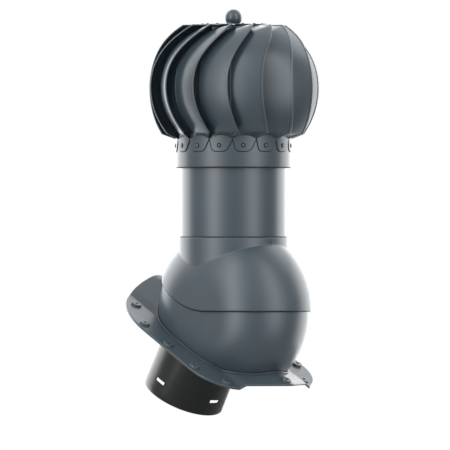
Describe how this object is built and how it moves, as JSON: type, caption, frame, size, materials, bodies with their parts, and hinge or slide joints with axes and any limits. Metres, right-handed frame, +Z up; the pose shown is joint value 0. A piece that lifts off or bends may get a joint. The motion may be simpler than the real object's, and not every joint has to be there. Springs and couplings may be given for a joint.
{
  "type": "rotating chimney cowl",
  "caption": "Rotating chimney cowl: ball-shaped turbine of curved blades on a pipe over a tilting two-part dome, flashing plate and round duct for a sloping roof.",
  "frame": {"origin": "where the stack's axis meets the underside of the flashing plate", "axes": "+Z up along the stack and the turbine's axis, -Y down the roof's slope, X along the roof"},
  "size_m": [0.2585, 0.2991, 0.6205],
  "materials": {
    "dome_paint": "graphite grey moulded plastic, satin",
    "turbine_paint": "graphite grey paint, satin",
    "pipe_paint": "graphite grey paint, satin",
    "duct_plastic": "black plastic, semi-gloss",
    "rivet_metal": "dark painted rivets",
    "zinc_steel": "zinc plated",
    "machined_steel": "turned steel",
    "bearing_steel": "ground bearing steel"
  },
  "bodies": {
    "base": {"flashing_plate": "dome_paint", "lower_shell": "dome_paint", "duct": "duct_plastic"},
    "stack": {"hood": "dome_paint", "stack_pipe": "pipe_paint", "spider_bracket": "zinc_steel", "spider_rivets": "zinc_steel", "bearing_tube": "zinc_steel", "upper_bearing_outer_ring": "bearing_steel", "upper_bearing_balls": "bearing_steel", "lower_bearing_outer_ring": "bearing_steel", "lower_bearing_balls": "bearing_steel"},
    "rotor": {"blade_01": "turbine_paint", "blade_02": "turbine_paint", "blade_03": "turbine_paint", "blade_04": "turbine_paint", "blade_05": "turbine_paint", "blade_06": "turbine_paint", "blade_07": "turbine_paint", "blade_08": "turbine_paint", "blade_09": "turbine_paint", "blade_10": "turbine_paint", "blade_11": "turbine_paint", "blade_12": "turbine_paint", "blade_13": "turbine_paint", "blade_14": "turbine_paint", "blade_15": "turbine_paint", "collar_ring": "turbine_paint", "top_disc": "turbine_paint", "ball_knob": "turbine_paint", "shaft": "machined_steel", "disc_washer": "machined_steel", "disc_nut": "machined_steel", "lower_lock_nut": "machined_steel", "bearing_spacer": "zinc_steel", "upper_bearing_inner_ring": "bearing_steel", "lower_bearing_inner_ring": "bearing_steel", "disc_rivets": "rivet_metal", "tab_rivets": "rivet_metal"}
  },
  "joints": [
    {"name": "pitch_tilt", "type": "hinge", "parent": "base", "child": "stack", "pos_m": [0, 0, 0.07], "axis": [1, 0, 0], "range_deg": [-10, 15]},
    {"name": "rotor_spin", "type": "hinge", "parent": "stack", "child": "rotor", "pos_m": [0, 0, 0.3], "axis": [0, 0, 1], "continuous": true}
  ]
}
